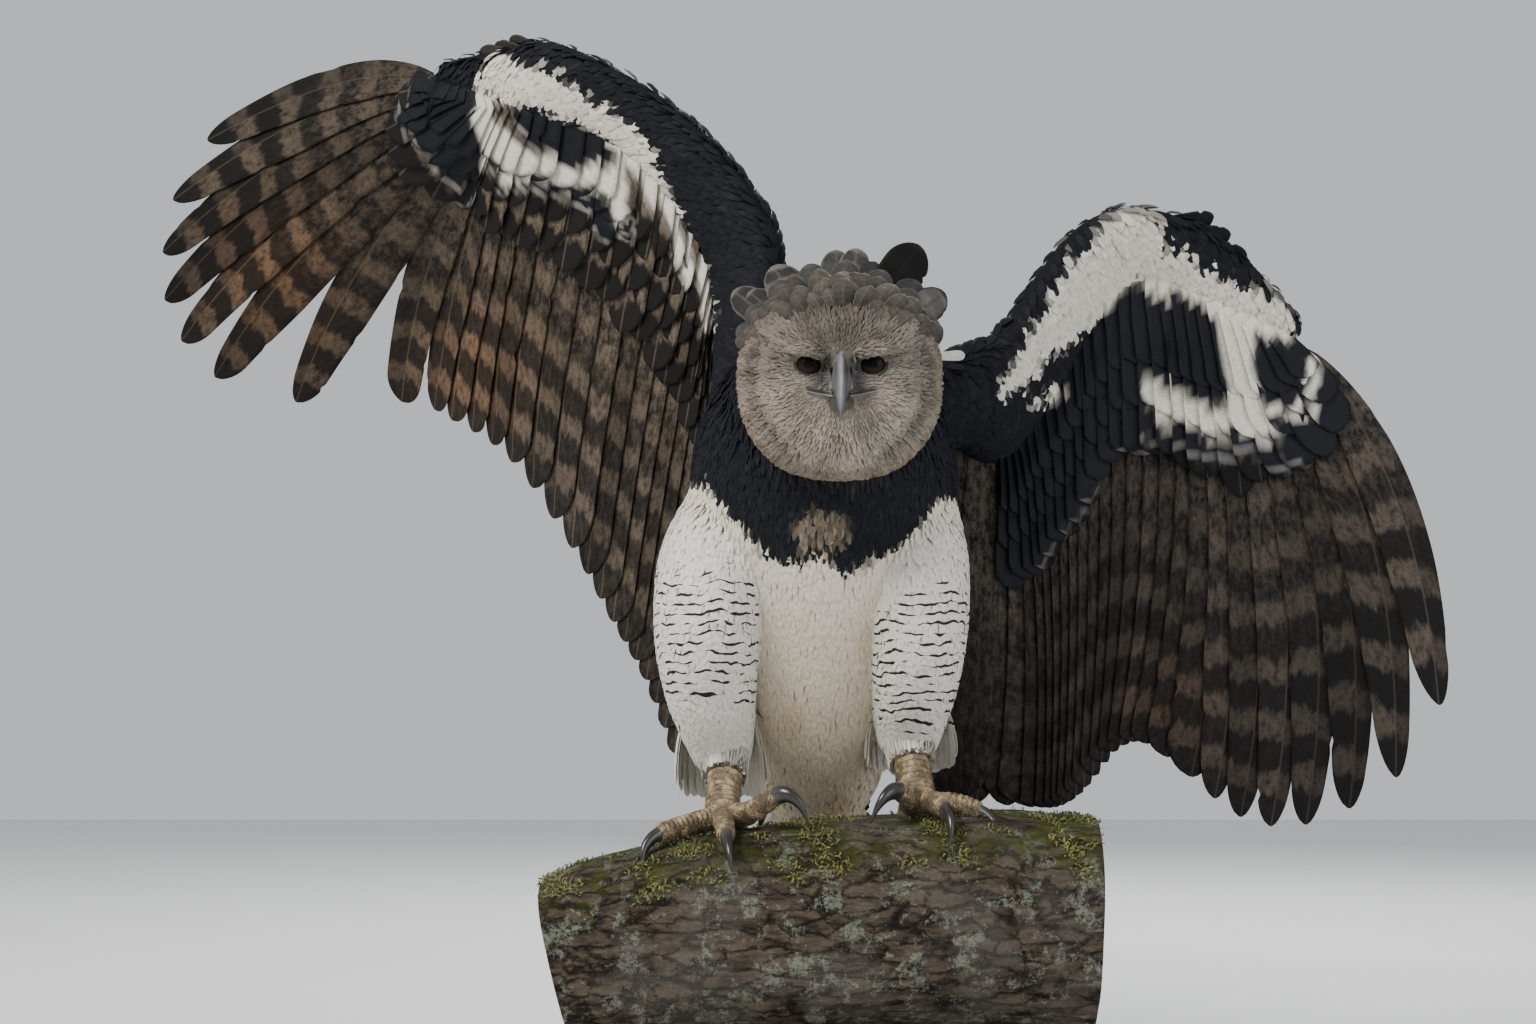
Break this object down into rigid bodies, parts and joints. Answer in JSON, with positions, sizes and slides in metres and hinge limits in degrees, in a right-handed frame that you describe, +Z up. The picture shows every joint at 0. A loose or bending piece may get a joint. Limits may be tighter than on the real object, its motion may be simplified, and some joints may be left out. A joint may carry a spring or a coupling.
{
  "type": "harpy eagle",
  "caption": "Life-size harpy eagle model that leans forward on a cut length of branch, one wing raised and the other half open, held on a flat base by two short rods.",
  "frame": {"origin": "middle of the underside of the stand's base", "axes": "+Z up; the bird faces -Y, its right side is at -X; the branch runs along X"},
  "size_m": [1.3383, 0.7186, 1.0383],
  "materials": {
    "white_feathers": "soft overlapping feathers, matte",
    "black_feathers": "overlapping feathers, faint sheen",
    "grey_feathers": "short fine feathers, matte",
    "barred_feathers": "long barred flight feathers, faint sheen",
    "thigh_feathers": "white feathers with fine black bars",
    "cere": "waxy bare skin",
    "horn": "polished dark horn",
    "eye": "wet and clear",
    "scaled_skin": "straw-coloured scutes",
    "bark": "rough bark with lichen and moss",
    "stand_wood": "dark stained, satin",
    "stand_steel": "brushed"
  },
  "bodies": {
    "root": {"bill_lower": "horn", "bill_upper": "horn", "branch": "bark", "cere": "cere", "claw_left_1": "horn", "claw_left_2": "horn", "claw_left_3": "horn", "claw_left_4": "horn", "claw_right_1": "horn", "claw_right_2": "horn", "claw_right_3": "horn", "claw_right_4": "horn", "eye_left": "eye", "eye_right": "eye", "head": "grey_feathers", "neck": "black_feathers", "shank_left": "scaled_skin", "shank_right": "scaled_skin", "stand_base": "stand_wood", "stand_rod_left": "stand_steel", "stand_rod_right": "stand_steel", "tail": "barred_feathers", "thigh_left": "thigh_feathers", "thigh_right": "thigh_feathers", "toe_left_1": "scaled_skin", "toe_left_2": "scaled_skin", "toe_left_3": "scaled_skin", "toe_left_4": "scaled_skin", "toe_right_1": "scaled_skin", "toe_right_2": "scaled_skin", "toe_right_3": "scaled_skin", "toe_right_4": "scaled_skin", "torso": "white_feathers", "wing_left": "barred_feathers", "wing_right": "barred_feathers"}
  },
  "joints": []
}
